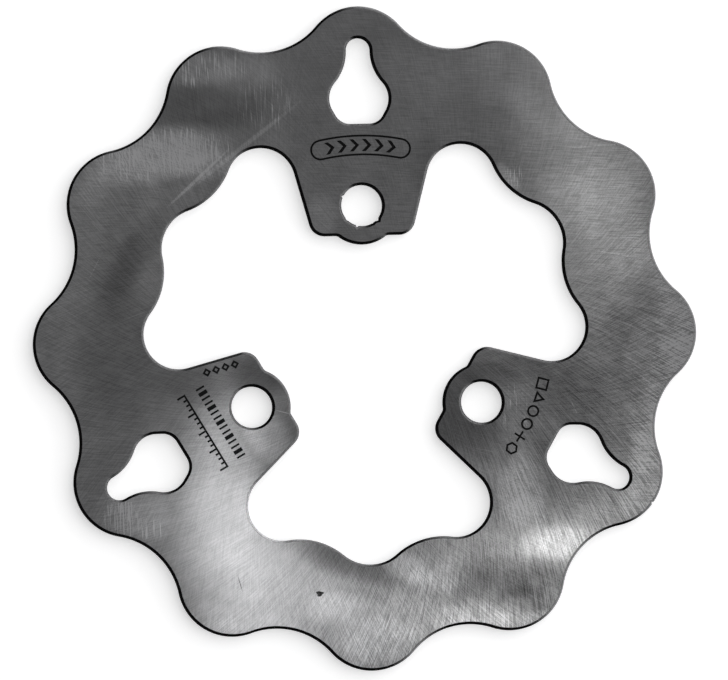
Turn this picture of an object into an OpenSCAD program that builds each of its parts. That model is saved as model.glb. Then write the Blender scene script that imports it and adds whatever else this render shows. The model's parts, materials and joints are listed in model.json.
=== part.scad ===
// One-piece wave brake disc: a flat ground steel plate with a wavy rim, a keyhole
// slot behind each lug and three lugs that bolt to the wheel hub.
// Row frame: the disc stands upright in the XZ plane, the wheel turns about +Y,
// one lug is at the top and the marked face looks towards -Y. The origin is the
// wheel centre, half way through the plate.
// Outlines are drawn in the XY plane with a lug at the top, and stood up at the end.

/* [Plate] */
// Diameter over the crests of the wavy rim
disc_d = 185; // [182:1:190]
// Thickness of the plate
plate_t = 3.5; // [3:0.5:5]

/* [Wavy rim] */
// Crests around the rim, with one on each lug's centre line
wave_count = 12; // [12:3:15]
// Height of the crests above the valleys
wave_depth = 8.75; // [8:0.25:9.5]
// Radius of the round crests
crest_r = 15.25; // [14:0.25:16]

/* [Central opening] */
// Distance from the wheel centre to the deepest point of the opening, between two lugs
opening_reach = 63; // [62:0.5:64]
// Radius of the opening's round end there
opening_r = 11.5; // [11:0.25:12.5]
// Distance from the wheel centre to the swells that flank that round end
swell_reach = 58.2; // [57.6:0.1:58.6]
// Angle between a swell and the middle of the opening's round end
swell_angle = 15; // [14.6:0.2:15.4]
// Radius of the pocket between a swell and a lug
pocket_r = 9.7; // [8.5:0.1:10.5]

/* [Lugs] */
// Diameter of the bolt circle
bolt_circle_d = 74; // [72:0.5:76]
// Diameter of a bolt hole
bolt_hole_d = 11.5; // [8:0.1:13]
// Outer radius of the round boss at a lug's end, about the bolt hole
boss_r = 10.8; // [10:0.1:11.5]
// Radius of the fillet between the boss and the lug's square end
boss_fillet_r = 1.5; // [1:0.1:2]
// Distance from the wheel centre to a lug's square end
lug_end = 28.7; // [28:0.1:29.5]
// Half the width of a lug, measured on the bolt circle's tangent
lug_half_w = 16; // [15.5:0.1:16.5]
// Angle by which each side of a lug opens outwards
lug_taper = 15; // [13:0.5:17]
// Radius of a lug's corners
lug_corner_r = 4.4; // [3:0.1:5]

/* [Keyhole slots] */
// Distance from the wheel centre to the tip of a slot's narrow end
slot_tip = 83.7; // [82:0.1:84.5]
// Radius of the narrow end
slot_tip_r = 3.4; // [3:0.1:3.8]
// Radius of the waist between the narrow end and the bulb
slot_waist_r = 13.5; // [12:0.1:15]
// Distance from the wheel centre to the middle of the bulb
slot_bulb = 66.9; // [66.4:0.1:68]
// Radius of the bulb's sides
slot_bulb_r = 6.75; // [6:0.05:7.2]
// Sideways offset of the bulb's sides from the centre line
slot_bulb_x = 1.6; // [1:0.1:2.2]
// Distance from the wheel centre to the slot's flat base
slot_base = 59.75; // [59:0.05:60.2]
// Radius of the corners at the base
slot_corner_r = 4.6; // [3.6:0.1:5]
// Sideways offset of those corners' centres from the centre line
slot_corner_x = 2.65; // [2:0.05:3.2]

/* [Etched marks] */
// Depth of the marks below the front face
mark_depth = 0.08; // [0.05:0.01:0.2]
// Width of a mark's line
mark_line = 0.55; // [0.4:0.05:0.7]
// Radius of the arched rotation mark, on the top lug
arrow_row_r = 53.8; // [52:0.1:54]
// Number of arrowheads in the rotation mark
arrow_count = 6; // [3:1:6]
// Radius of the arched row of grade signs, on the right lug
grade_row_r = 51; // [50:0.1:52]
// Distance from the wheel centre to the graduated scale, on the left lug
scale_row_y = 52.5; // [51:0.1:53]
// Distance from the wheel centre to the bar strip, on the left lug
strip_row_y = 46.7; // [46.5:0.1:47.5]
// Height of the grade signs
sign_h = 3.4; // [2.6:0.1:3.5]
// Length of the graduated scale and the bar strip
row_length = 23.5; // [18:0.5:25]
// Height of the tall lines in those two rows
row_height = 2.6; // [2:0.1:3]

/* [Hidden] */
lug_count = 3;
lug_pitch = 360 / lug_count;
// longest step between points on an arc, and the sides of a bolt hole
arc_step = 0.8;
bore_fn = 96;
// points closer than this are the same point
same_point = 0.001;
// how far a cutter passes through the face it cuts
cut_margin = 1;

// ---- points and arcs ----

function polar(r, a) = [r * cos(a), r * sin(a)];

// direction from point p to point q
function heading(p, q) = atan2(q.y - p.y, q.x - p.x);

// the same angle, written so that it lies between low and low + 360
function above(low, a) = a - 360 * floor((a - low) / 360);

function turned(points, a) = [for (p = points) polar(norm(p), atan2(p.y, p.x) + a)];

// the same points on the other side of the Y axis, in the opposite order
function mirrored(points) =
    [for (i = [len(points) - 1 : -1 : 0]) [-points[i].x, points[i].y]];

// points along an arc, from angle a0 to angle a1, both ends included
function arc(c, r, a0, a1) =
    let (n = max(3, ceil(abs(a1 - a0) * PI / 180 * r / arc_step)))
    [for (i = [0 : n]) c + polar(r, a0 + (a1 - a0) * i / n)];

// a closed outline with each repeated point written once
function tidy(points) =
    let (n = len(points))
    [for (i = [0 : n - 1]) if (norm(points[i] - points[(i + 1) % n]) > same_point) points[i]];

// Radius of the arc that comes as near the wheel centre as reach and runs into an arc
// of radius r centred at distance d, when the two centres are an angle a apart
function joining_r(d, r, reach, a) =
    (r * r - reach * reach - d * d + 2 * d * reach * cos(a))
        / (2 * (reach - d * cos(a) - r));

// Centre at distance r0 from p0 and r1 from p1, on the right of the way from p0 to p1
function between(p0, r0, p1, r1) =
    let (
        gap = norm(p1 - p0),
        way = (p1 - p0) / gap,
        along = (r0 * r0 - r1 * r1 + gap * gap) / (2 * gap)
    )
    p0 + along * way + sqrt(r0 * r0 - along * along) * [way.y, -way.x];

// ---- wavy rim: crests and valleys that run into each other ----

wave_half = 180 / wave_count;
crest_c = polar(disc_d / 2 - crest_r, 90);
valley_reach = disc_d / 2 - wave_depth;
valley_r = joining_r(norm(crest_c), crest_r, valley_reach, wave_half);
valley_c = polar(valley_reach + valley_r, 90 - wave_half);

half_wave = concat(
    arc(crest_c, crest_r, 90, heading(crest_c, valley_c)),
    arc(valley_c, valley_r, heading(valley_c, crest_c), -90 - wave_half)
);

module rim_outline() {
    polygon(tidy([
        for (k = [0 : wave_count - 1])
            each turned(concat(mirrored(half_wave), half_wave), -2 * wave_half * k)
    ]));
}

// ---- central opening: what is left between the lugs ----

bolt_c = [0, bolt_circle_d / 2];

// round boss at the lug's end, and the fillet that runs it into the square end
fillet_y = lug_end - boss_fillet_r;
fillet_c = [sqrt(pow(boss_r + boss_fillet_r, 2) - pow(bolt_c.y - fillet_y, 2)), fillet_y];

// side of the lug: a point on it, its direction, and the way out of the metal
side_p = [lug_half_w, bolt_c.y];
side_way = [sin(lug_taper), cos(lug_taper)];
side_out = [cos(lug_taper), -sin(lug_taper)];

// corner between the square end and the side
corner_y = lug_end + lug_corner_r;
corner_c = [
    side_p.x - (lug_corner_r + (corner_y - side_p.y) * side_out.y) / side_out.x,
    corner_y
];

// round end of the opening, midway between two lugs, and the swell beside it
mid_a = 90 - lug_pitch / 2;
end_c = polar(opening_reach - opening_r, mid_a);
swell_r = joining_r(norm(end_c), opening_r, swell_reach, swell_angle);
swell_c = polar(swell_reach + swell_r, mid_a + swell_angle);

// pocket: touches the lug's side and the swell
pocket_base = side_p + pocket_r * side_out;
pocket_gap = pocket_base - swell_c;
pocket_back = pocket_gap * side_way;
pocket_shift = -pocket_back
    - sqrt(pow(pocket_back, 2) - pocket_gap * pocket_gap + pow(pocket_r + swell_r, 2));
pocket_c = pocket_base + pocket_shift * side_way;

half_opening = concat(
    arc(bolt_c, boss_r, -90, heading(bolt_c, fillet_c)),
    arc(fillet_c, boss_fillet_r, heading(fillet_c, bolt_c), 90),
    arc(corner_c, lug_corner_r, -90, -lug_taper),
    arc(pocket_c, pocket_r, 180 - lug_taper, heading(pocket_c, swell_c)),
    arc(swell_c, swell_r, heading(swell_c, pocket_c), heading(swell_c, end_c)),
    arc(end_c, opening_r, heading(end_c, swell_c), mid_a)
);

module opening_outline() {
    polygon(tidy([
        for (k = [0 : lug_count - 1])
            each turned(concat(mirrored(half_opening), half_opening), -lug_pitch * k)
    ]));
}

// ---- keyhole slot: narrow end, waist, bulb, sloping shoulder and flat base ----

tip_c = [0, slot_tip - slot_tip_r];
bulb_c = [slot_bulb_x, slot_bulb];
base_c = [slot_corner_x, slot_base + slot_corner_r];
waist_c = between(bulb_c, slot_waist_r + slot_bulb_r, tip_c, slot_waist_r + slot_tip_r);
shoulder_a = heading(bulb_c, base_c)
    + acos((slot_bulb_r - slot_corner_r) / norm(base_c - bulb_c));

half_slot = concat(
    arc(tip_c, slot_tip_r, 90, heading(tip_c, waist_c)),
    arc(
        waist_c, slot_waist_r,
        above(90, heading(waist_c, tip_c)), above(90, heading(waist_c, bulb_c))
    ),
    arc(bulb_c, slot_bulb_r, heading(bulb_c, waist_c), shoulder_a),
    arc(base_c, slot_corner_r, shoulder_a, -90)
);

module slot_outline() {
    polygon(tidy(concat(mirrored(half_slot), half_slot)));
}

// ---- etched marks, each drawn about the centre line of a lug that points up ----

module at_lug(k) {
    rotate([0, 0, -lug_pitch * k]) children();
}

// arched capsule about the wheel centre, at radius r and of half height h
function capsule(r, h, half_a) = concat(
    arc([0, 0], r + h, 90 + half_a, 90 - half_a),
    arc(polar(r, 90 - half_a), h, 90 - half_a, -90 - half_a),
    arc([0, 0], r - h, 90 - half_a, 90 + half_a),
    arc(polar(r, 90 + half_a), h, -90 + half_a, -270 + half_a)
);

module arrowhead(w, h, line) {
    polygon([
        [-w / 2, h / 2], [line - w / 2, h / 2], [w / 2, 0],
        [line - w / 2, -h / 2], [-w / 2, -h / 2], [w / 2 - line, 0]
    ]);
}

// rotation mark: a capsule outline with a row of arrowheads in it
module rotation_mark() {
    capsule_h = 2.9;
    capsule_a = 12;
    row_a = 22;
    arrow_h = 3.4;
    arrow_w = 2.7;
    difference() {
        polygon(tidy(capsule(arrow_row_r, capsule_h, capsule_a)));
        polygon(tidy(capsule(arrow_row_r, capsule_h - mark_line, capsule_a)));
    }
    for (i = [0 : arrow_count - 1])
        rotate([0, 0, ((arrow_count - 1) / 2 - i) * row_a / arrow_count])
            translate([0, arrow_row_r])
                arrowhead(arrow_w, arrow_h, 2 * mark_line);
}

// regular sign with straight sides, drawn as a line of the mark's width
module sign(sides, r, start_a) {
    inner_r = r - mark_line / cos(180 / sides);
    difference() {
        polygon([for (i = [0 : sides - 1]) polar(r, start_a + 360 * i / sides)]);
        polygon([for (i = [0 : sides - 1]) polar(inner_r, start_a + 360 * i / sides)]);
    }
}

module plus_sign(size) {
    square([size, mark_line], center = true);
    square([mark_line, size], center = true);
}

// arched row of grade signs: square, triangle, two rounds, plus and hexagon
module grade_row() {
    signs = 6;
    sign_a = 4.5;
    middle_a = 3;
    round_sides = 24;
    square_r = sign_h / sqrt(2);
    triangle_r = 0.6 * sign_h;
    hexagon_r = 0.54 * sign_h;
    module place(i)
        rotate([0, 0, middle_a + ((signs - 1) / 2 - i) * sign_a])
            translate([0, grade_row_r])
                children();
    place(0) sign(4, square_r, 45);
    place(1) sign(3, triangle_r, 90);
    place(2) sign(round_sides, sign_h / 2, 0);
    place(3) sign(round_sides, sign_h / 2, 0);
    place(4) plus_sign(sign_h);
    place(5) sign(6, hexagon_r, 90);
}

// graduated scale: a base line with ticks, every fourth one tall
module scale_row() {
    ticks = 16;
    pitch = (row_length - mark_line) / ticks;
    short_tick = 0.55;
    translate([-row_length / 2, 0])
        square([row_length, mark_line]);
    for (i = [0 : ticks])
        translate([i * pitch - row_length / 2, 0])
            square([mark_line, row_height * (i % 4 == 0 ? 1 : short_tick)]);
}

// bar strip: bars of one height, every third one double width
module bar_strip() {
    bars = 15;
    pitch = row_length / bars;
    for (i = [0 : bars - 1])
        let (bar_w = mark_line * (i % 3 == 1 ? 2 : 1))
            translate([(i + 0.5) * pitch - (bar_w + row_length) / 2, 0])
                square([bar_w, row_height]);
}

// short row of diamonds along the side of a lug
module side_code() {
    diamonds = 4;
    inset = 2.7;
    from_bolt = 1.2;
    pitch = 2.7;
    diamond_r = 1.25;
    translate(side_p - inset * side_out + from_bolt * side_way)
        rotate([0, 0, 90 - lug_taper])
            for (i = [0 : diamonds - 1])
                translate([(i - (diamonds - 1) / 2) * pitch, 0])
                    sign(4, diamond_r, 0);
}

module marks() {
    row_x = 1;
    at_lug(0) rotation_mark();
    at_lug(1) grade_row();
    at_lug(2) {
        translate([row_x, scale_row_y - row_height / 2]) scale_row();
        translate([row_x, strip_row_y - row_height / 2]) bar_strip();
        side_code();
    }
}

// ---- the disc ----

module bolt_hole() {
    translate([bolt_c.x, bolt_c.y, -plate_t / 2 - cut_margin])
        cylinder(d = bolt_hole_d, h = plate_t + 2 * cut_margin, $fn = bore_fn);
}

module plate() {
    translate([0, 0, -plate_t / 2])
        linear_extrude(plate_t)
            difference() {
                rim_outline();
                opening_outline();
                for (k = [0 : lug_count - 1])
                    at_lug(k) slot_outline();
            }
}

module brake_disc() {
    color("silver")
        rotate([90, 0, 0])
            difference() {
                plate();
                for (k = [0 : lug_count - 1])
                    at_lug(k) bolt_hole();
                translate([0, 0, plate_t / 2 - mark_depth])
                    linear_extrude(mark_depth + cut_margin)
                        marks();
            }
}

brake_disc();
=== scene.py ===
import json
import math

import bpy
import numpy as np
from mathutils import Matrix, Vector
from mathutils.geometry import delaunay_2d_cdt

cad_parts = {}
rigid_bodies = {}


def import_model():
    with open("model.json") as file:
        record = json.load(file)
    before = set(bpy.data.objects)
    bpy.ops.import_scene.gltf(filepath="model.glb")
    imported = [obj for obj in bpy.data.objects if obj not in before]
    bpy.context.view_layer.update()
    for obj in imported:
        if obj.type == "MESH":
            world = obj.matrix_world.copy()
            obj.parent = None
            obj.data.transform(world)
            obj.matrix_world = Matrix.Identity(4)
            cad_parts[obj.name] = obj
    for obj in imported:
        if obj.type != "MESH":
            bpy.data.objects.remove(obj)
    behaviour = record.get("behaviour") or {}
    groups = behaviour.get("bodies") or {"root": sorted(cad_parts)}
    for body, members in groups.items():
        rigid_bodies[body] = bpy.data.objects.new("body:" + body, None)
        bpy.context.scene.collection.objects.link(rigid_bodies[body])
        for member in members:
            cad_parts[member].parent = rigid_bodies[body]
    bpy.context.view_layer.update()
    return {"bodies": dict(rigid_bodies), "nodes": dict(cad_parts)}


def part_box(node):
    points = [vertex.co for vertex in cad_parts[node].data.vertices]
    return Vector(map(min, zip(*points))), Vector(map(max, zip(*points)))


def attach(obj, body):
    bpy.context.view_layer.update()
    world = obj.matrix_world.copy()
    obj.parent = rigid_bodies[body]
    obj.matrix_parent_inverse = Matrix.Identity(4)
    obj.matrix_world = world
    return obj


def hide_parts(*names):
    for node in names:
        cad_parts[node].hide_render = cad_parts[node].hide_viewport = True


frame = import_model()

MM = 0.001

# ---------------------------------------------------------------- driving sizes
CHAMFER_W = 0.68 * MM        # width of the broken edge on each face
CHAMFER_D = 0.5 * MM         # its depth down the wall
POINT_STEP = 0.3 * MM        # spacing of points along an outline
FILL_STEP = 3.0 * MM         # spacing of the points inside a face
CUT_RIPPLE = 0.012 * MM      # depth of the ripples that the laser leaves on the cut wall
PIT_AT = (-14.5 * MM, -70.8 * MM)
PIT_R = 0.75 * MM
PIT_DEPTH = 0.12 * MM
SAME_HEIGHT = 0.002 * MM     # corners closer than this to a face's height lie on it
SAME_PLACE = 0.01 * MM       # corners of the two faces that agree to this are one above the other

# nicks in the cut edges: x, z, width along the edge and depth into the metal, in mm
NICKS = [
    (-5.0, 39.5, 0.7, 0.45), (4.3, 33.0, 1.1, 0.40), (3.1, 31.8, 0.6, 0.35), (-1.4, 31.4, 0.6, 0.50),
    (-4.2, 33.3, 0.9, 0.20), (-29.0, -24.1, 0.8, 0.45), (-25.9, -19.9, 0.6, 0.30), (79.3, -47.8, 0.8, 0.40),
    (28.4, -24.2, 0.7, 0.25),
]

NODE = "brake_disc"
BODY = next(iter(frame["bodies"]))
low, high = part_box(NODE)
FRONT_Y, BACK_Y = low.y, high.y
RIM_R = high.x


# ---------------------------------------------------------------- outlines of the CAD node
def cad_triangles(obj):
    """Welded corner positions of the CAD node, and its triangles."""
    mesh = obj.data
    points = np.zeros(len(mesh.vertices) * 3, np.float32)
    mesh.vertices.foreach_get("co", points)
    points = points.reshape(-1, 3).astype(float)
    keys, same = np.unique(np.round(points / 1e-6).astype(int), axis=0, return_inverse=True)
    same = same.reshape(-1)
    triangles = [tuple(same[i] for i in face.vertices) for face in mesh.polygons]
    return keys * 1e-6, triangles


def face_loops(points, triangles, y):
    """Closed outlines of the flat face at height y, as lists of corner numbers.

    The metal is on the left, seen from -Y.
    """
    flat = np.abs(points[:, 1] - y) < SAME_HEIGHT
    halves = set()
    for face in triangles:
        if all(flat[i] for i in face):
            for a, b in zip(face, face[1:] + face[:1]):
                halves.add((a, b))
    follow = {a: b for a, b in halves if (b, a) not in halves}
    loops = []
    while follow:
        start, here = follow.popitem()
        loop = [start]
        while here != start:
            loop.append(here)
            here = follow.pop(here)
        loops.append(loop)
    return loops


def smooth_outline(corners, step):
    """Points and directions along a closed outline. Arcs stay round and straight runs stay straight."""
    edge = np.roll(corners, -1, 0) - corners
    length = np.hypot(*edge.T)
    beside = (np.roll(length, 1) + np.roll(length, -1)) / 2
    straight = length > 1.8 * beside
    unit = edge / length[:, None]
    before = np.roll(edge, 1, 0) / np.roll(length, 1)[:, None] ** 2
    tangent = before + edge / length[:, None] ** 2
    tangent[straight] = unit[straight]
    after_straight = np.roll(straight, 1)
    tangent[after_straight] = np.roll(unit, 1, 0)[after_straight]
    tangent /= np.hypot(*tangent.T)[:, None]
    places, ways = [], []
    for i, count in enumerate(np.maximum(1, np.round(length / step).astype(int))):
        j = (i + 1) % len(corners)
        if any(math.dist(corners[i] / MM, nick[:2]) < 2 * nick[2] + length[i] / MM for nick in NICKS):
            count *= 3
        t = (np.arange(count) / count)[:, None]
        if straight[i]:
            places.append(corners[i] + t * edge[i])
            ways.append(np.repeat(unit[i][None], count, 0))
            continue
        a, b = tangent[i] * length[i], tangent[j] * length[i]
        places.append((2 * t**3 - 3 * t**2 + 1) * corners[i] + (t**3 - 2 * t**2 + t) * a
                      + (3 * t**2 - 2 * t**3) * corners[j] + (t**3 - t**2) * b)
        way = ((6 * t**2 - 6 * t) * corners[i] + (3 * t**2 - 4 * t + 1) * a
               + (6 * t - 6 * t**2) * corners[j] + (3 * t**2 - 2 * t) * b)
        ways.append(way / np.hypot(*way.T)[:, None])
    return np.vstack(places), np.vstack(ways)


def nicked(places, ways):
    """The same outline with the nicks pressed into the metal."""
    into = np.stack([-ways[:, 1], ways[:, 0]], 1)
    push = np.zeros(len(places))
    for x, z, width, depth in NICKS:
        apart = np.hypot(places[:, 0] - x * MM, places[:, 1] - z * MM) / (width / 2 * MM)
        ragged = 1 + 0.3 * np.sin(9 * apart + x)
        push = np.maximum(push, depth * MM * np.clip(1.4 - apart, 0, 1) * ragged)
    return places + into * push[:, None]


def inside(points, loops):
    """True where a point is inside an odd number of the closed loops."""
    odd = np.zeros(len(points), bool)
    x, z = points[:, 0][:, None], points[:, 1][:, None]
    for loop in loops:
        a, b = loop, np.roll(loop, -1, 0)
        spans = (a[:, 1] > z) != (b[:, 1] > z)
        rise = np.where(b[:, 1] == a[:, 1], 1e-12, b[:, 1] - a[:, 1])
        crosses = spans & (x < (b[:, 0] - a[:, 0]) * (z - a[:, 1]) / rise + a[:, 0])
        odd ^= (crosses.sum(1) % 2).astype(bool)
    return odd


# ---------------------------------------------------------------- the disc's mesh
class Shell:
    """Collects corners, faces, a material number for each face and a normal for each face corner."""

    def __init__(self):
        self.points, self.faces, self.materials, self.normals = [], [], [], []

    def add_points(self, points):
        first = len(self.points)
        self.points.extend(map(tuple, points))
        return list(range(first, len(self.points)))

    def add_face(self, corners, material, normals):
        self.faces.append(corners)
        self.materials.append(material)
        self.normals.extend(normals)

    def build(self, name, materials):
        mesh = bpy.data.meshes.new(name)
        mesh.from_pydata(self.points, [], self.faces)
        for material in materials:
            mesh.materials.append(material)
        mesh.polygons.foreach_set("material_index", self.materials)
        mesh.polygons.foreach_set("use_smooth", [True] * len(self.faces))
        mesh.normals_split_custom_set(self.normals)
        mesh.update()
        obj = bpy.data.objects.new(name, mesh)
        bpy.context.scene.collection.objects.link(obj)
        return obj


FACE, EDGE, WALL, MARK = range(4)

# the broken edge is a little rounded: share of its width from the face, and lean of the normal
# there as a share of the edge's own slope
EDGE_STEPS = [(0, 0.95), (0.15, 1.0), (1, 1.25)]
EDGE_BOW = 1.15              # 1 would make the broken edge straight between its ends
WALL_STEPS = 7


def edge_profile():
    """Rows of inset, y and lean of the normal from -Y: for the front edge, the cut wall and the back edge."""
    slope = math.atan2(CHAMFER_D, CHAMFER_W)
    front = [(CHAMFER_W * (1 - share), FRONT_Y + CHAMFER_D * share ** EDGE_BOW, slope * lean)
             for share, lean in EDGE_STEPS]
    upper, lower = FRONT_Y + CHAMFER_D, BACK_Y - CHAMFER_D
    wall = [(0.0, upper + (lower - upper) * i / WALL_STEPS, math.pi / 2) for i in range(WALL_STEPS + 1)]
    back = [(inset, BACK_Y + FRONT_Y - y, math.pi - lean) for inset, y, lean in reversed(front)]
    return front, wall, back


def ripple(along, row):
    """Depth of the laser's ripples in one row of the cut wall. They trail behind from row to row."""
    lag = along / MM + 0.35 * row
    return CUT_RIPPLE * (1 + np.sin(lag * 5.1) * np.cos(lag * 1.7 + row * 0.2)) / 2


def add_edge(shell, places, ways):
    """The broken edges and the cut wall along one outline. Returns its first and last rings of corners."""
    out = np.stack([ways[:, 1], -ways[:, 0]], 1)
    count = len(places)
    along = np.concatenate([[0], np.cumsum(np.hypot(*np.diff(places, axis=0).T))])
    front, wall, back = edge_profile()
    rings = []
    for part, (rows, material) in enumerate(((front, EDGE), (wall, WALL), (back, EDGE))):
        for k, (inset, y, lean) in enumerate(rows):
            rippled = material == WALL and 0 < k < len(rows) - 1
            depth = ripple(along, k) if rippled else np.zeros(count)
            spot = places - out * (inset + depth)[:, None]
            ring = np.stack([spot[:, 0], np.full(count, y), spot[:, 1]], 1)
            normal = np.stack([out[:, 0] * math.sin(lean), np.full(count, -math.cos(lean)),
                               out[:, 1] * math.sin(lean)], 1)
            rings.append((part, material, ring, normal))
    numbered = []
    for i, (part, material, ring, normal) in enumerate(rings):
        repeat = i and np.allclose(ring, rings[i - 1][2])
        numbers = numbered[-1][0] if repeat else shell.add_points(ring)
        numbered.append((numbers, material, normal, part))
    for (a, material_a, na, part_a), (b, material_b, nb, part_b) in zip(numbered, numbered[1:]):
        if a is b:
            continue
        material = material_b if part_a == part_b else (WALL if WALL in (material_a, material_b) else EDGE)
        for i in range(count):
            j = (i + 1) % count
            shell.add_face((a[j], a[i], b[i], b[j]), material, (na[j], na[i], nb[i], nb[j]))
    return numbered[0][0], numbered[-1][0]


def hex_grid(step, reach):
    """Evenly spaced points over a square that reaches this far from the centre."""
    row_step = 0.866 * step
    rows = int(reach / row_step) + 1
    columns = int(reach / step) + 1
    return np.array([((i + 0.5 * (j % 2)) * step, j * row_step)
                     for j in range(-rows, rows + 1) for i in range(-columns, columns + 1)])


def pit_points(y):
    """Points of a ragged little hollow in the face at height y, from its brim to its middle: x, z and y."""
    turns = 14
    around = [2 * math.pi * i / turns for i in range(turns)]
    points = []
    for share, drop in ((1.3, 0), (1.0, 0.06), (0.7, 0.45), (0.35, 0.9), (0, 1)):
        for a in around if share else [0.0]:
            reach = PIT_R * share * (1 + 0.22 * math.sin(3 * a + 0.6) + 0.12 * math.sin(5 * a))
            points.append((PIT_AT[0] + reach * math.cos(a), PIT_AT[1] + 0.75 * reach * math.sin(a),
                           y + PIT_DEPTH * drop))
    return points


def fill_points(border, outlines, y, pit):
    """Points that fill a face between its outlines, and the pit's own where it has one: x, z and y."""
    grid = hex_grid(FILL_STEP, RIM_R)
    grid = grid[inside(grid, outlines)]
    near = np.array([np.min(np.sum((border - g) ** 2, 1)) for g in grid])
    grid = grid[near > (0.35 * FILL_STEP) ** 2]
    if pit:
        grid = grid[np.hypot(grid[:, 0] - PIT_AT[0], grid[:, 1] - PIT_AT[1]) > 1.6 * PIT_R]
    return [(x, z, y) for x, z in grid] + (pit_points(y) if pit else [])


def add_metal(shell, corners, y, outward, in_pit):
    """One triangle of the ground face at height y. Those that dip into the pit are dark and turn with it."""
    normals, material = [outward] * 3, FACE
    if in_pit:
        a, b, c = (Vector(shell.points[i]) for i in corners)
        normals = [tuple((b - a).cross(c - a).normalized())] * 3
        if any(abs(corner.y - y) > 0.05 * PIT_DEPTH for corner in (a, b, c)):
            material = WALL
    shell.add_face(corners, material, normals)


def add_mark_walls(shell, mark, top, floor):
    """The upright sides of one sunk mark, between its corners on the face and on its floor."""
    for i in range(len(mark)):
        j = (i + 1) % len(mark)
        x, z = mark[j] - mark[i]
        size = math.hypot(x, z)
        side = (z / size, 0, -x / size)
        shell.add_face((top[j], top[i], floor[i], floor[j]), MARK, [side] * 4)


def add_flat(shell, rings, marks, y, floor_y, pit):
    """One flat face inside the given rings of corners, with any marks sunk to floor_y."""
    outward = (0, -1, 0) if y < 0 else (0, 1, 0)
    outlines = [np.array([(shell.points[i][0], shell.points[i][2]) for i in ring]) for ring in rings]
    numbers = [i for ring in rings for i in ring]
    spots = [p for outline in outlines for p in outline]
    for mark in marks:
        numbers += shell.add_points([(x, y, z) for x, z in mark])
        spots += list(mark)
    edges, first = [], 0
    for loop in outlines + marks:
        edges += [(first + i, first + (i + 1) % len(loop)) for i in range(len(loop))]
        first += len(loop)
    fill = fill_points(np.array(spots), outlines, y, pit)
    numbers += shell.add_points([(x, height, z) for x, z, height in fill])
    spots += [(x, z) for x, z, height in fill]
    result = delaunay_2d_cdt([Vector(p) / MM for p in spots], edges, [], 0, 1e-7, True)
    corners, _, faces, sources = result[:4]
    origin = [source[0] for source in sources]
    flat = np.array([tuple(c) for c in corners]) * MM
    middles = flat[np.array(faces)].mean(1)
    metal, sunk = inside(middles, outlines), inside(middles, marks) if marks else np.zeros(len(faces), bool)
    sunk_numbers = {}
    for face, keep, is_mark in zip(faces, metal, sunk):
        if not keep:
            continue
        turn = face if y < 0 else face[::-1]
        if is_mark:
            for i in turn:
                if origin[i] not in sunk_numbers:
                    x, z = flat[i]
                    sunk_numbers[origin[i]] = shell.add_points([(x, floor_y, z)])[0]
            shell.add_face(tuple(sunk_numbers[origin[i]] for i in turn), MARK, [outward] * 3)
        else:
            in_pit = pit and all(math.dist(flat[i], PIT_AT) < 1.7 * PIT_R for i in turn)
            add_metal(shell, tuple(numbers[origin[i]] for i in turn), y, outward, in_pit)
    first = sum(len(outline) for outline in outlines)
    for mark in marks:
        own = range(first, first + len(mark))
        add_mark_walls(shell, mark, [numbers[i] for i in own], [sunk_numbers[i] for i in own])
        first += len(mark)


def key(place):
    """A place on the face as whole numbers, to look it up by."""
    return tuple(np.round(place / SAME_PLACE).astype(int))


def disc_mesh(materials):
    """The disc, from the CAD node's own outlines: broken edges, cut walls, sunk marks and smooth normals."""
    points, triangles = cad_triangles(frame["nodes"][NODE])
    back_spots = {key(p[[0, 2]]) for p in points if abs(p[1] - BACK_Y) < SAME_HEIGHT}
    outlines, marks = [], []
    for loop in face_loops(points, triangles, FRONT_Y):
        flat = points[loop][:, [0, 2]]
        through = sum(key(p) in back_spots for p in flat) > 0.5 * len(flat)
        (outlines if through else marks).append(flat)
    depths = points[:, 1]
    floor_y = depths[(depths > FRONT_Y + SAME_PLACE) & (depths < 0)].min() if marks else FRONT_Y
    shell = Shell()
    front, back = [], []
    for outline in outlines:
        places, ways = smooth_outline(outline, POINT_STEP)
        first, last = add_edge(shell, nicked(places, ways), ways)
        front.append(first)
        back.append(last)
    add_flat(shell, front, marks, FRONT_Y, floor_y, True)
    add_flat(shell, back, [], BACK_Y, BACK_Y, False)
    return shell.build("disc", materials)


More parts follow.
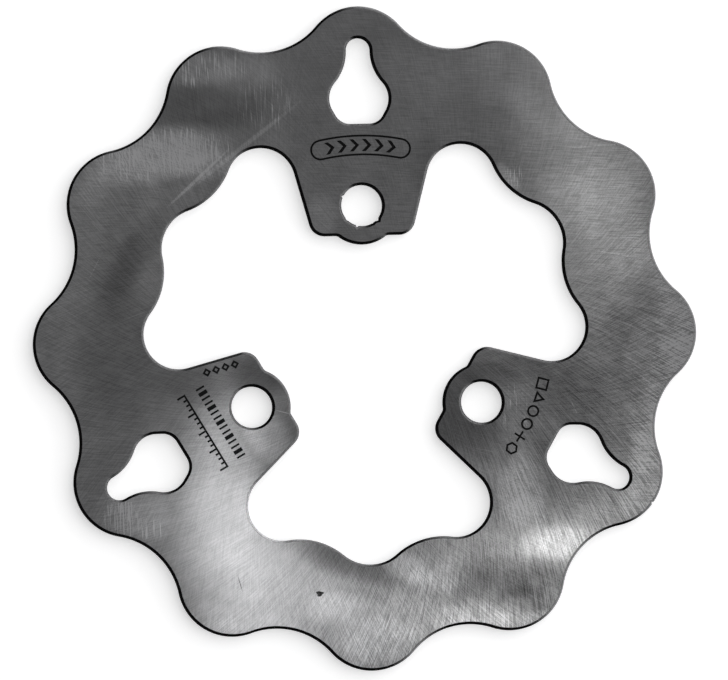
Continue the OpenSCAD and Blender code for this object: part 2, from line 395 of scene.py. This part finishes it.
# ---------------------------------------------------------------- node graphs
class Graph:
    """Short calls for shader nodes. A value is a number, a tuple or another node's output."""

    def __init__(self, tree):
        self.tree = tree
        tree.nodes.clear()

    def node(self, kind, values=None, **settings):
        made = self.tree.nodes.new(kind)
        for name, value in settings.items():
            setattr(made, name, value)
        for name, value in (values or {}).items():
            self.feed(made.inputs[name], value)
        return made

    def feed(self, socket, value):
        if isinstance(value, bpy.types.NodeSocket):
            self.tree.links.new(value, socket)
        else:
            socket.default_value = value

    def math(self, operation, *values, clamp=False):
        made = self.tree.nodes.new("ShaderNodeMath")
        made.operation, made.use_clamp = operation, clamp
        for socket, value in zip(made.inputs, values):
            self.feed(socket, value)
        return made.outputs[0]

    def add(self, a, b):
        return self.math("ADD", a, b)

    def mul(self, a, b):
        return self.math("MULTIPLY", a, b)

    def total(self, *values):
        result = values[0]
        for value in values[1:]:
            result = self.add(result, value)
        return result

    def ramp(self, value, start, end, low=0.0, high=1.0):
        """A smooth step: low before start, high after end."""
        made = self.node("ShaderNodeMapRange", interpolation_type="SMOOTHSTEP")
        for i, number in enumerate((value, start, end, low, high)):
            self.feed(made.inputs[i], number)
        return made.outputs[0]

    def combine(self, x, y, z):
        return self.node("ShaderNodeCombineXYZ", {"X": x, "Y": y, "Z": z}).outputs[0]

    def noise(self, vector, scale=1.0, detail=2.0, roughness=0.5):
        return self.node("ShaderNodeTexNoise", {
            "Vector": vector, "Scale": scale, "Detail": detail, "Roughness": roughness}).outputs["Fac"]

    def mix(self, share, a, b):
        made = self.node("ShaderNodeMix", data_type="FLOAT")
        for i, value in zip((0, 2, 3), (share, a, b)):
            self.feed(made.inputs[i], value)
        return made.outputs[0]

    def grey(self, value, tint=(1.0, 1.0, 1.0)):
        parts = {name: self.mul(value, share) for name, share in zip(("Red", "Green", "Blue"), tint)}
        return self.node("ShaderNodeCombineColor", parts).outputs[0]


class DiscPlace:
    """Where a shaded point is on the disc: x, y and z in millimetres, radius and angle about the centre."""

    def __init__(self, g):
        self.g = g
        split = g.node("ShaderNodeSeparateXYZ", {"Vector": g.node("ShaderNodeTexCoord").outputs["Object"]})
        self.x, self.y, self.z = (g.mul(split.outputs[i], 1 / MM) for i in range(3))
        self.r = g.math("SQRT", g.add(g.mul(self.x, self.x), g.mul(self.z, self.z)))
        self.angle = g.math("ARCTAN2", self.z, self.x)
        self.log_r = g.math("LOGARITHM", self.r, math.e)

    def along(self, degrees, x=0.0, z=0.0):
        """Distance in a direction across the face, from the point x, z."""
        g, a = self.g, math.radians(degrees)
        return g.add(g.mul(g.add(self.x, -x), math.cos(a)), g.mul(g.add(self.z, -z), math.sin(a)))

    def swirl(self, lean, lines, length, detail, seed):
        """Grinding lines that leave the centre at a fixed lean from the radius: thin across, long along."""
        g = self.g
        v = g.add(self.angle, g.mul(self.log_r, math.tan(math.radians(lean))))
        return g.noise(g.combine(g.mul(g.math("COSINE", v), lines), g.mul(g.math("SINE", v), lines),
                                 g.add(g.mul(self.r, 1 / length), seed)), 1.0, detail, 0.55)

    def straight(self, degrees, pitch, length, detail, seed):
        """Straight parallel grinding lines."""
        g = self.g
        along, beside = self.along(degrees), self.along(degrees + 90)
        return g.noise(g.combine(g.mul(along, 1 / length), g.mul(beside, 1 / pitch), seed), 1.0, detail, 0.55)

    def spot(self, x, z, degrees, half_length, half_width):
        """1 in the middle of a soft oval on the face, 0 outside it."""
        g = self.g
        u = g.mul(self.along(degrees, x, z), 1 / half_length)
        v = g.mul(self.along(degrees + 90, x, z), 1 / half_width)
        return g.ramp(g.add(g.mul(u, u), g.mul(v, v)), 0.0, 1.0, 1.0, 0.0)


def new_material(name):
    material = bpy.data.materials.new(name)
    material.use_nodes = True
    return material, Graph(material.node_tree)


BASE_TONE = 0.45
# painted reflections: soft lighter (+) and darker (-) areas painted into the ground face's colour, standing
# in for where its highlights fall and where it lies in shade:
# middle x, z, direction of the long axis, half length, half width (mm and degrees), change of tone
PAINTED_REFLECTION_PATCHES = [
    (-42, 66, 3, 22, 9, -0.12),
    (-57, 52, 12, 23, 9, 0.42),
    (-68, 22, 82, 20, 8, -0.08),
    (-68, -2, 90, 26, 16, -0.10),
    (-66, -48, -15, 13, 9, 0.22),
    (-28, -9, 15, 14, 9, -0.30),
    (-28, -26, -60, 11, 7, 0.35),
    (24, -20, -50, 22, 15, -0.27),
    (40, -6, -10, 16, 8, -0.13),
    (56, -14, -60, 16, 12, -0.10),
    (42, -67, -5, 18, 7, -0.20),
    (53, -58, 0, 14, 6, 0.22),
    (2, -85, -10, 16, 9, 0.25),
    (-14, -80, -20, 14, 9, -0.06),
    (10, -64, -25, 9, 5, 0.33),
    (88, 2, 97, 22, 8, 0.35),
    (80, -38, 70, 22, 9, 0.30),
    (50, 72, -60, 24, 14, 0.15),
    (41, 44, -50, 6, 2.5, 0.30),
    (-33, -82, -5, 16, 8, 0.10),
    (-4, -61, -15, 22, 8, -0.26),
    (-46, 76, -4, 17, 6, 0.18),
    (-12, 32, 80, 12, 6, 0.15),
    (70, 30, -70, 30, 12, 0.08),
    (30, -78, 0, 15, 6, 0.16),
    (34, -11, -15, 12, 5, -0.14),
    (-36, 61, 5, 18, 5, -0.05),
    (58, 36, -60, 14, 10, 0.08),
    (-42, 49, 5, 12, 5, 0.22),
    (85, -14, 77, 20, 9, 0.22),
    (43, -42, 80, 13, 8, 0.28),
    (22, -67, 90, 6, 7, 0.10),
    (18, 48, 90, 11, 6, -0.08),
    (-48, -12, -10, 13, 7, -0.12),
    (17, 74, -20, 18, 12, 0.07),
    (46, 60, 90, 14, 8, 0.08),
    (-10, -75, 0, 10, 6, 0.20),
    (35, -60, 0, 10, 5, -0.10),
    (42, -74, 0, 11, 5, -0.16),
    (40, -44, 90, 9, 6, 0.10),
    (50, -71, 0, 8, 5, 0.10),
    (48, -80, 0, 8, 4, 0.14),
    (-52, 10, 80, 8, 4, -0.08),
    (-62, -44, 0, 9, 5, 0.12),
    (2, -70, -20, 7, 5, -0.08),
    (20, -58, 0, 9, 4, -0.10),
    (48, -35, 90, 8, 5, -0.10),
    (79, -31, 60, 9, 7, 0.18),
    (75, 22, 90, 8, 8, 0.10),
    (18, -67, 0, 9, 5, 0.10),
    (-45, -77, 0, 9, 6, 0.12),
    (51, 65, -60, 9, 6, -0.08),
    (-63, 25, 54, 18, 6, -0.12),
    (-32, 74, 10, 12, 7, 0.15),
    (34, 78, -70, 12, 7, 0.13),
    (38, 67, 0, 8, 5, 0.10),
    (78, -3, 80, 14, 7, 0.13),
    (78, -22, 80, 13, 8, 0.13),
    (84, 19, 100, 10, 6, 0.13),
    (-75, 44, 60, 8, 6, 0.10),
    (-42, -81, 0, 9, 5, 0.12),
    (43, -50, 15, 9, 6, 0.14),
    (28, -68, 85, 15, 6, -0.08),
    (40, -78, 0, 7, 6, 0.12),
    (-33, -44, 90, 12, 6, 0.11),
    (-61, -50, 0, 7, 7, 0.07),
]


# single scratches: the same six values
SCRATCHES = [
    (-68.6, -49.4, 91, 5.2, 0.20, 1.10),
    (-71.0, -49.0, 90, 4.0, 0.16, 0.60),
    (-66.8, -48.6, 92, 4.2, 0.18, 0.80),
    (-64.6, -49.8, 90, 3.4, 0.16, 0.50),
    (-60.2, -51.3, 90, 3.0, 0.18, 0.60),
    (-58.4, -51.9, 92, 2.8, 0.15, 0.45),
    (-36.6, -67.5, 105, 2.9, 0.14, -0.35),
    (-23.4, -20.1, -15, 2.6, 0.16, 0.40),
    (57.8, -20.6, -65, 3.2, 0.11, 0.25),
    (36.5, -9.5, -50, 3.6, 0.10, 0.12),
    (33.0, -32.0, -12, 5.5, 0.10, 0.12),
    (-33.7, 53.3, 37, 25.0, 0.90, 0.17),
    (-45.5, 45.5, 42, 14.0, 0.60, 0.28),
    (-75.0, 21.0, 62, 6.0, 0.12, 0.12),
    (-63.0, 8.0, 20, 5.0, 0.12, 0.10),
    (70.0, 22.0, -12, 8.0, 0.11, 0.20),
    (63.0, 52.0, 3, 9.0, 0.12, 0.18),
    (75.0, -8.0, -24, 7.0, 0.11, 0.20),
    (12.0, 74.0, 58, 5.0, 0.10, 0.10),
    (-8.5, 79.0, 24, 4.0, 0.10, 0.10),
    (47.0, -47.0, -70, 6.0, 0.12, 0.25),
    (22.0, -70.0, 72, 5.0, 0.12, 0.20),
]
# patches of upright scratches
SCRATCH_PATCHES = [
    (-69.2, -48.6, 90, 6.5, 6.0, 1.3),
    (-62.6, -51.4, 90, 4.0, 2.6, 0.9),
    (42.3, 44.0, 60, 5.0, 3.4, 1.2),
    (-55.5, 52.5, 95, 8.0, 22.0, 2.0),
    (-46.0, 76.0, 92, 6.0, 18.0, 0.9),
    (-26.0, 66.0, 95, 9.0, 10.0, 0.5),
    (41.0, -21.0, 98, 10.0, 6.0, 0.35),
]


def tone_with_painted_reflections(g, at):
    """How light the bare metal is before its grinding lines are added, with painted reflections: lighter and
    darker patches that stand in for its highlights and shade.
    """
    tone = BASE_TONE
    # painted highlights and shade from the painted reflection patches, then the scratches
    for x, z, degrees, half_length, half_width, change in PAINTED_REFLECTION_PATCHES + SCRATCHES:
        tone = g.add(tone, g.mul(at.spot(x, z, degrees, half_length, half_width), change))
    upright = g.ramp(at.straight(91, 0.42, 7.0, 1.0, 9.0), 0.52, 0.78)
    for x, z, degrees, half_length, half_width, change in SCRATCH_PATCHES:
        tone = g.add(tone, g.mul(upright, g.mul(at.spot(x, z, degrees, half_length, half_width), change)))
    return tone


HIGHLIGHT_LEAN = 25          # degrees between the radius and the lines that stretch the highlights


def grain_map(g, at):
    """How much the grinding lines stand out: most at the lower right, least at the top and the left."""
    across_face = g.mul(g.ramp(at.along(-40), -5, 90, 0.24, 0.54), g.ramp(at.z, 45, 75, 1.0, 0.7))
    calm = g.mul(at.spot(-36, -64, -40, 44, 30), -0.3)
    return g.mul(across_face, g.add(1.0, calm))


def across_lines(g, at, straight_share):
    """The direction across the grinding lines, which is the way that a highlight stretches."""
    turn = math.radians(90 - HIGHLIGHT_LEAN)
    c, s = math.cos(turn), math.sin(turn)
    swirl_x = g.math("DIVIDE", g.add(g.mul(at.x, c), g.mul(at.z, -s)), at.r)
    swirl_z = g.math("DIVIDE", g.add(g.mul(at.x, s), g.mul(at.z, c)), at.r)
    return g.combine(g.mix(straight_share, swirl_x, 0.0), 0.0, g.mix(straight_share, swirl_z, 1.0))


def ground_steel():
    """Ground faces: lines that lean from the radius, straight ones at the upper right, long highlights."""
    material, g = new_material("ground_steel")
    at = DiscPlace(g)
    straight_share = g.mul(g.ramp(at.z, 2.0, 36.0), g.ramp(at.x, -36.0, 2.0))
    fine = g.mix(straight_share, at.swirl(25, 330, 5.0, 2.0, 1.0), at.straight(-3, 0.26, 6.0, 2.0, 4.0))
    middle = g.mix(straight_share, at.swirl(27, 170, 9.0, 2.0, 2.0), at.straight(-2, 0.5, 11.0, 2.0, 5.0))
    deep = g.mix(straight_share, at.swirl(31, 170, 9.0, 0.0, 7.0), at.straight(-7, 0.5, 12.0, 0.0, 8.0))
    cross = g.add(at.swirl(-25, 300, 4.0, 1.0, 3.0), -0.5)
    crossing = g.add(0.45, g.mul(at.spot(48, -48, -45, 48, 34), -0.25))
    speck = g.noise(g.combine(at.x, at.y, at.z), 2.4, 2.0, 0.6)
    lines = g.total(g.mul(fine, 0.7), g.mul(middle, 0.15), g.mul(cross, crossing), g.mul(speck, 0.3))
    cloud = g.noise(g.combine(at.x, at.y, at.z), 0.09, 3.0, 0.55)
    grain = grain_map(g, at)
    texture = g.add(1.0, g.mul(grain, g.ramp(lines, 0.375, 0.775, -1.0, 1.0)))
    texture = g.mul(texture, g.ramp(cloud, 0.25, 0.75, 0.92, 1.08))
    texture = g.add(texture, g.ramp(deep, 0.66, 0.8, 0.0, 0.06))
    value = g.mul(tone_with_painted_reflections(g, at), texture)
    height = g.add(fine, g.mul(middle, 0.4))
    bump = g.node("ShaderNodeBump", {"Height": height, "Strength": g.mul(grain, 0.25), "Distance": 0.05 * MM})
    shader = g.node("ShaderNodeBsdfPrincipled", {
        "Base Color": g.grey(value), "Metallic": 1.0,
        "Roughness": g.ramp(middle, 0.3, 0.7, 0.275, 0.305), "Anisotropic": 0.85,
        "Tangent": across_lines(g, at, straight_share), "Normal": bump.outputs[0]})
    haze = g.node("ShaderNodeBsdfPrincipled", {
        "Base Color": g.grey(value), "Metallic": 1.0, "Roughness": 0.8, "Normal": bump.outputs[0]})
    surface = g.node("ShaderNodeMixShader", {0: 0.12})
    g.feed(surface.inputs[1], shader.outputs[0])
    g.feed(surface.inputs[2], haze.outputs[0])
    g.node("ShaderNodeOutputMaterial", {"Surface": surface.outputs[0]})
    return material


def broken_edge():
    """The deburred edge between a ground face and a cut wall: smoother metal, with a painted highlight that
    makes it brightest at the lower left.
    """
    material, g = new_material("broken_edge")
    at = DiscPlace(g)
    wear = g.noise(g.combine(at.x, at.y, at.z), 2.2, 3.0, 0.6)
    # painted highlight: the edge's colour is made lighter in one spot at the lower left, standing in for a
    # reflection
    painted_edge_highlight = g.add(1.0, g.mul(at.spot(-28, -50, -45, 14, 9), 2.4))
    shader = g.node("ShaderNodeBsdfPrincipled", {
        "Base Color": g.grey(g.mul(painted_edge_highlight, g.ramp(wear, 0.3, 0.7, 0.06, 0.11))), "Metallic": 1.0,
        "Roughness": g.ramp(wear, 0.3, 0.7, 0.14, 0.22)})
    g.node("ShaderNodeOutputMaterial", {"Surface": shader.outputs[0]})
    return material


def cut_wall():
    """Laser-cut wall: dark oxide with fine drag lines through its thickness, dull at a glancing view."""
    material, g = new_material("cut_wall")
    at = DiscPlace(g)
    lines = g.noise(g.combine(g.mul(at.x, 3.2), g.mul(at.y, 0.35), g.mul(at.z, 3.2)), 1.0, 3.0, 0.6)
    bands = g.noise(g.combine(g.mul(at.x, 0.15), g.mul(at.y, 1.6), g.mul(at.z, 0.15)), 1.0, 1.0, 0.5)
    tone = g.mul(g.ramp(lines, 0.3, 0.7, 0.01, 0.03), g.ramp(bands, 0.3, 0.7, 0.8, 1.3))
    bump = g.node("ShaderNodeBump", {"Height": lines, "Strength": 0.6, "Distance": 0.05 * MM})
    dull = g.node("ShaderNodeBsdfDiffuse", {
        "Color": g.grey(g.mul(tone, 0.5)), "Roughness": 0.5, "Normal": bump.outputs[0]})
    sheen = g.node("ShaderNodeBsdfPrincipled", {
        "Base Color": g.grey(g.mul(tone, 3.4), (1.0, 0.99, 0.97)), "Metallic": 1.0, "Roughness": 0.42,
        "Normal": bump.outputs[0]})
    facing = g.node("ShaderNodeLayerWeight", {"Blend": 0.5}).outputs["Facing"]
    shader = g.node("ShaderNodeMixShader", {0: g.ramp(facing, 0.35, 0.8)})
    g.feed(shader.inputs[1], sheen.outputs[0])
    g.feed(shader.inputs[2], dull.outputs[0])
    g.node("ShaderNodeOutputMaterial", {"Surface": shader.outputs[0]})
    return material


def etched_mark():
    """Laser-etched marks: matt and nearly black, with uneven depth of tone."""
    material, g = new_material("etched_mark")
    at = DiscPlace(g)
    burn = g.noise(g.combine(at.x, at.y, at.z), 3.0, 3.0, 0.6)
    shader = g.node("ShaderNodeBsdfPrincipled", {
        "Base Color": g.grey(g.ramp(burn, 0.3, 0.7, 0.006, 0.02)), "Roughness": 0.8,
        "Specular IOR Level": 0.1})
    g.node("ShaderNodeOutputMaterial", {"Surface": shader.outputs[0]})
    return material


# ---------------------------------------------------------------- stage, lights and camera
GAP = 0.5 * MM               # between the back of the disc and the backdrop
FLOOR_Z = -0.6
STAGE_SIZE = 40.0
PAPER_GLOW = 0.53            # beside its lamp's light
WHITE = 0.97


def plane(name, corners, material):
    mesh = bpy.data.meshes.new(name)
    mesh.from_pydata(corners, [], [(0, 1, 2, 3)])
    mesh.materials.append(material)
    obj = bpy.data.objects.new(name, mesh)
    bpy.context.scene.collection.objects.link(obj)
    for ray in ("diffuse", "glossy", "transmission", "volume_scatter", "shadow"):
        setattr(obj, "visible_" + ray, False)
    return obj


def pale_paper(one_sided):
    """White paper that glows, more where its lamp doesn't reach. One-sided, it is clear from behind."""
    material, g = new_material("pale_paper")
    geometry = g.node("ShaderNodeNewGeometry").outputs
    place = g.node("ShaderNodeSeparateXYZ", {"Vector": geometry["Position"]}).outputs
    away = g.math("SQRT", g.total(*(g.mul(value, value) for value in place)))
    glow = g.ramp(away, 0.6, 2.4, PAPER_GLOW, WHITE)
    matt = g.node("ShaderNodeBsdfDiffuse", {"Color": (0.8, 0.8, 0.8, 1)})
    light = g.node("ShaderNodeEmission", {"Color": (1, 1, 1, 1), "Strength": glow})
    paper = g.node("ShaderNodeAddShader")
    g.feed(paper.inputs[0], matt.outputs[0])
    g.feed(paper.inputs[1], light.outputs[0])
    surface = paper.outputs[0]
    if one_sided:
        clear = g.node("ShaderNodeBsdfTransparent")
        pick = g.node("ShaderNodeMixShader", {0: geometry["Backfacing"]})
        g.feed(pick.inputs[1], surface)
        g.feed(pick.inputs[2], clear.outputs[0])
        surface = pick.outputs[0]
    g.node("ShaderNodeOutputMaterial", {"Surface": surface})
    return material


def toward(azimuth, from_axis):
    """A direction in front of the marked face: its azimuth from +X towards +Z, and its angle from -Y."""
    a, b = math.radians(azimuth), math.radians(from_axis)
    return Vector((math.cos(a) * math.sin(b), -math.cos(b), math.sin(a) * math.sin(b)))


VIEW_FROM = toward(210, 5)       # the camera sees the disc from a little left and below
VIEW_ROLL = 1.45                 # degrees by which the disc looks turned, anticlockwise
VIEW_WIDTH = 202.5 * MM          # width of the picture at the disc
VIEW_CENTRE = (-0.39 * MM, FRONT_Y, -0.53 * MM)    # the point in the middle of the picture
LENS_MM, SENSOR_MM = 800.0, 36.0


def area_light(name, place, target, width, height, power, receivers=None):
    data = bpy.data.lights.new(name, "AREA")
    data.shape, data.size, data.size_y, data.energy = "RECTANGLE", width, height, power
    obj = bpy.data.objects.new(name, data)
    bpy.context.scene.collection.objects.link(obj)
    obj.location = place
    obj.rotation_mode = "QUATERNION"
    obj.rotation_quaternion = (Vector(place) - Vector(target)).to_track_quat("Z", "Y")
    obj.visible_camera = False
    if receivers:
        obj.light_linking.receiver_collection = receivers
    return obj


def face_light(name, x, z, distance, width, height, power, receivers):
    """A small soft box that the camera sees reflected at x, z on the disc's face. Sizes in mm."""
    place = Vector((x * MM, FRONT_Y, z * MM)) + VIEW_FROM.reflect(Vector((0, 1, 0))) * -distance * MM
    return area_light(name, place, (place.x, 0, place.z), width * MM, height * MM, power, receivers)


def group(name, *members):
    made = bpy.data.collections.new(name)
    for member in members:
        made.objects.link(member)
    return made


def build_world():
    """Pale to the eye, and dim with soft bright parts for reflections."""
    world = bpy.data.worlds.new("studio")
    bpy.context.scene.world = world
    world.use_nodes = True
    g = Graph(world.node_tree)
    split = g.node("ShaderNodeSeparateXYZ", {"Vector": g.node("ShaderNodeTexCoord").outputs["Generated"]})
    x, y, z = split.outputs
    right = g.add(g.mul(x, math.cos(math.radians(20))), g.mul(z, math.sin(math.radians(20))))
    ahead = g.ramp(y, -0.55, -0.85)
    bands = g.add(g.ramp(y, -0.6, -0.35, 0.0, 1.5), g.ramp(y, -0.2, 0.0, 0.0, 1.6))
    band = g.mul(bands, g.ramp(y, 0.4, 0.15))
    rim = g.mul(g.ramp(right, 0.05, 0.6), band)
    level = g.total(0.03, g.mul(ahead, 0.148), rim, g.ramp(y, 0.0, 0.6, 0.0, 0.25))
    glow = g.node("ShaderNodeBackground", {"Color": g.grey(level, (1.0, 1.0, 1.02)), "Strength": 1.0})
    plain = g.node("ShaderNodeBackground", {"Color": (WHITE, WHITE, WHITE, 1), "Strength": 1.0})
    pick = g.node("ShaderNodeMixShader", {0: g.node("ShaderNodeLightPath").outputs["Is Camera Ray"]})
    g.feed(pick.inputs[1], glow.outputs[0])
    g.feed(pick.inputs[2], plain.outputs[0])
    g.node("ShaderNodeOutputWorld", {"Surface": pick.outputs[0]})


def build_stage(disc):
    back = BACK_Y + GAP
    half = STAGE_SIZE / 2
    upright = [(-half, back, FLOOR_Z), (half, back, FLOOR_Z), (half, back, half), (-half, back, half)]
    level = [(x, y, FLOOR_Z) for x, y in ((-half, -half), (half, -half), (half, half), (-half, half))]
    wall = plane("backdrop", upright, pale_paper(one_sided=True))
    floor = plane("floor", level, pale_paper(one_sided=False))
    paper, metal = group("paper", wall, floor), group("metal", disc)
    origin = (0, 0, 0)
    area_light("paper_key", toward(30, 36) * 0.9, origin, 1.8, 1.8, 11.4, paper)
    low_left = face_light("low_left_box", -37, -62, 120, 22, 36, 0.0108, metal)
    low_left.data.color = (0.98, 0.98, 1.0)
    face_light("right_box", 68, 40, 150, 30, 30, 0.0042, metal)
    face_light("low_right_box", 47.5, -61, 80, 20, 8, 0.0023, metal)
    face_light("bottom_box", 26, -82, 90, 20, 12, 0.002, metal)
    area_light("low_left_side", toward(213, 46) * 0.6, origin, 0.3, 0.3, 0.3, metal)
    area_light("rear_right", (0.8, 0.9, 0.2), origin, 0.5, 0.9, 1.0, metal)
    area_light("rear_left", (-0.7, 0.8, 0.6), origin, 0.4, 0.8, 0.8, metal)
    build_world()


def build_camera():
    data = bpy.data.cameras.new("camera")
    data.lens, data.sensor_width = LENS_MM, SENSOR_MM
    distance = VIEW_WIDTH * LENS_MM / SENSOR_MM
    data.clip_start, data.clip_end = 0.1, 100.0
    camera = bpy.data.objects.new("camera", data)
    bpy.context.scene.collection.objects.link(camera)
    camera.location = Vector(VIEW_CENTRE) + VIEW_FROM * distance
    camera.rotation_mode = "QUATERNION"
    roll = Matrix.Rotation(math.radians(-VIEW_ROLL), 4, "Z").to_quaternion()
    camera.rotation_quaternion = VIEW_FROM.to_track_quat("Z", "Y") @ roll
    bpy.context.scene.camera = camera


scene = bpy.context.scene
scene.view_settings.view_transform = "Standard"
disc = disc_mesh([ground_steel(), broken_edge(), cut_wall(), etched_mark()])
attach(disc, BODY)
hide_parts(NODE)
build_stage(disc)
build_camera()
